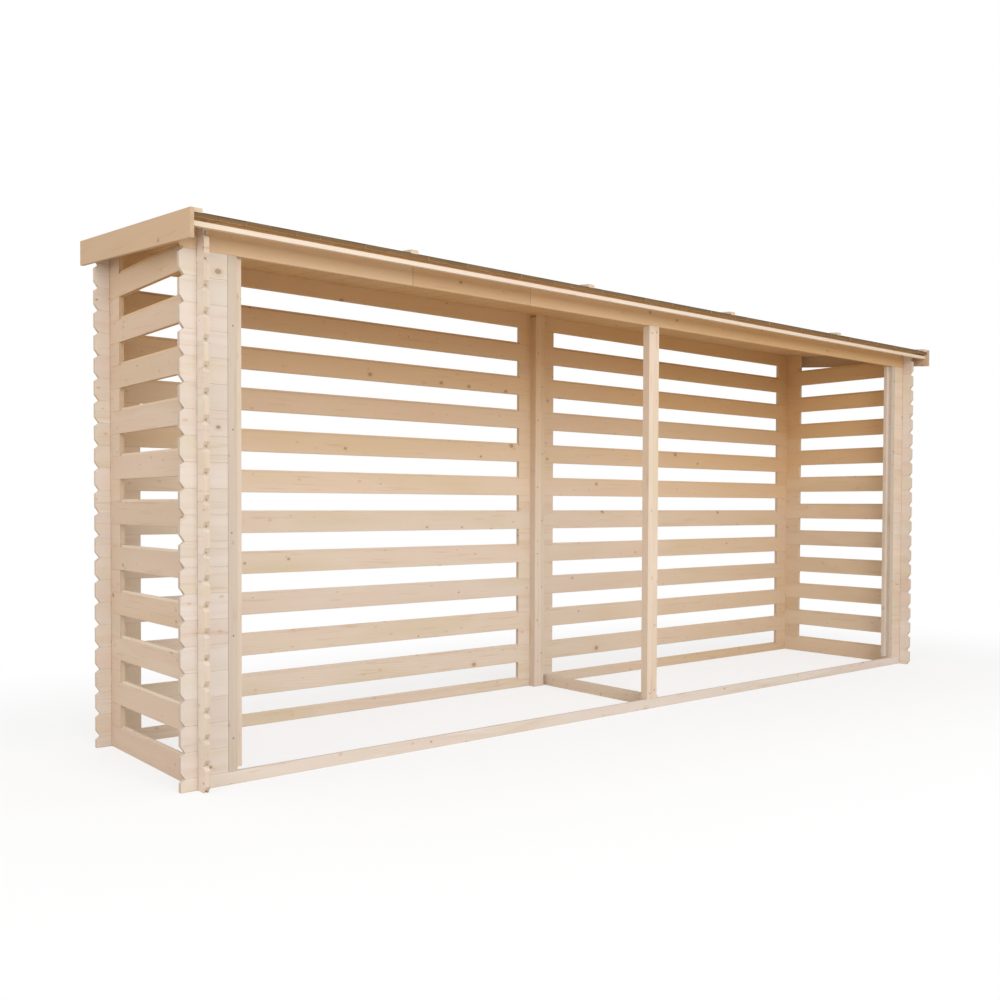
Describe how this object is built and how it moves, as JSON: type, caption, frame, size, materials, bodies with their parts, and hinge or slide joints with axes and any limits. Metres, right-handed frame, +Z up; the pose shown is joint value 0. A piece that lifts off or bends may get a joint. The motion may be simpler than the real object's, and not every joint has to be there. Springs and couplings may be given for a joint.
{
  "type": "log store",
  "caption": "Wide open-fronted timber log store with slatted back and side walls under a thin single-pitch roof.",
  "frame": {"origin": "on the ground, under the middle of the roof's outline", "axes": "+X along the length, towards the right end seen from the open front; +Y from the open front to the back wall; +Z up"},
  "size_m": [4.868, 1.12, 2.0967],
  "materials": {
    "wall_logs": "planed",
    "planed_boards": "planed",
    "roof_sheet": "raw"
  },
  "bodies": {
    "root": {"back_bottom_rail": "wall_logs", "back_centre_blocks": "wall_logs", "back_centre_post": "planed_boards", "back_corner_blocks_left": "wall_logs", "back_corner_blocks_right": "wall_logs", "back_header": "wall_logs", "back_rail_01": "wall_logs", "back_rail_02": "wall_logs", "back_rail_03": "wall_logs", "back_rail_04": "wall_logs", "back_rail_05": "wall_logs", "back_rail_06": "wall_logs", "back_rail_07": "wall_logs", "back_rail_08": "wall_logs", "back_rail_09": "wall_logs", "back_rail_10": "wall_logs", "barge_board_left": "planed_boards", "barge_board_right": "planed_boards", "corner_post_left": "planed_boards", "corner_post_right": "planed_boards", "corner_trim_left": "planed_boards", "corner_trim_right": "planed_boards", "eave_lath": "planed_boards", "floor_tie": "planed_boards", "front_centre_post": "planed_boards", "front_corner_logs_even_left": "wall_logs", "front_corner_logs_even_right": "wall_logs", "front_corner_logs_odd_left": "wall_logs", "front_corner_logs_odd_right": "wall_logs", "front_header": "wall_logs", "front_sill": "wall_logs", "gable_wedge_left": "wall_logs", "gable_wedge_right": "wall_logs", "roof_battens": "planed_boards", "roof_sheet": "roof_sheet", "side_back_blocks_left": "wall_logs", "side_back_blocks_right": "wall_logs", "side_front_blocks_left": "wall_logs", "side_front_blocks_right": "wall_logs", "side_rails_left": "wall_logs", "side_rails_right": "wall_logs"}
  },
  "joints": []
}
